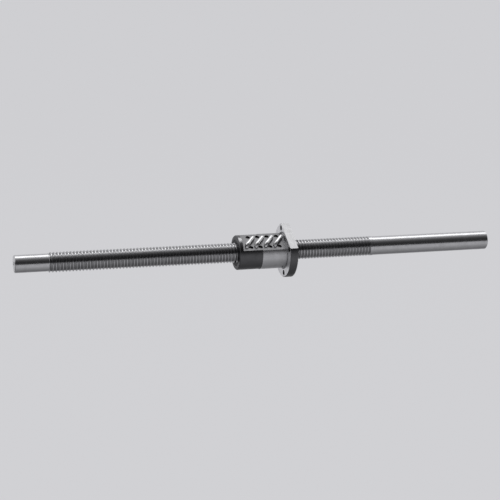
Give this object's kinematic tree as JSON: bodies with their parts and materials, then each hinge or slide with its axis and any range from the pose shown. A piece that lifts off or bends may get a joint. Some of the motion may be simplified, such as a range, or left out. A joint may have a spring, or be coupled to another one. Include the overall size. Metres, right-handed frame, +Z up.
{
  "type": "ball screw",
  "caption": "Right-handed ball screw: a ground shaft with a fine ball groove, plain ends, and a flanged nut whose balls come back through return tubes on a milled flat",
  "frame": {"origin": "on the shaft's axis, at the shoulder where the left journal meets the thread", "axes": "+X runs along the shaft from the left journal to the plain right end, +Z is up as the shaft lies in the picture, and the flat of the nut faces up and towards -Y"},
  "size_m": [0.3, 0.033, 0.0327],
  "materials": {
    "shaft_steel": "ground and polished",
    "nut_steel": "turned, with a ground seat",
    "tube_steel": "drawn and bright",
    "ball_steel": "polished",
    "wiper_plastic": "moulded, dark"
  },
  "bodies": {
    "screw": {"screw_shaft": "shaft_steel"},
    "wipers": {"left_wiper": "wiper_plastic", "right_wiper": "wiper_plastic"},
    "nut": {"nut_body": "nut_steel", "return_tube_1": "tube_steel", "return_tube_2": "tube_steel", "return_tube_3": "tube_steel", "return_tube_4": "tube_steel", "loaded_balls_1": "ball_steel", "loaded_balls_2": "ball_steel", "loaded_balls_3": "ball_steel", "loaded_balls_4": "ball_steel", "return_balls_1": "ball_steel", "return_balls_2": "ball_steel", "return_balls_3": "ball_steel", "return_balls_4": "ball_steel"}
  },
  "joints": [
    {"name": "nut_travel", "type": "slide", "parent": "screw", "child": "wipers", "axis": [1, 0, 0], "range_m": [-0.1101, 0.0461]},
    {"name": "nut_turn", "type": "hinge", "parent": "wipers", "child": "nut", "pos_m": [0.11383, 0, 0], "axis": [1, 0, 0], "range_deg": [-19800, 8280]}
  ],
  "couplings": [
    {"joint": "nut_travel", "follows": "nut_turn", "m_per_rad": 0.00031831}
  ]
}
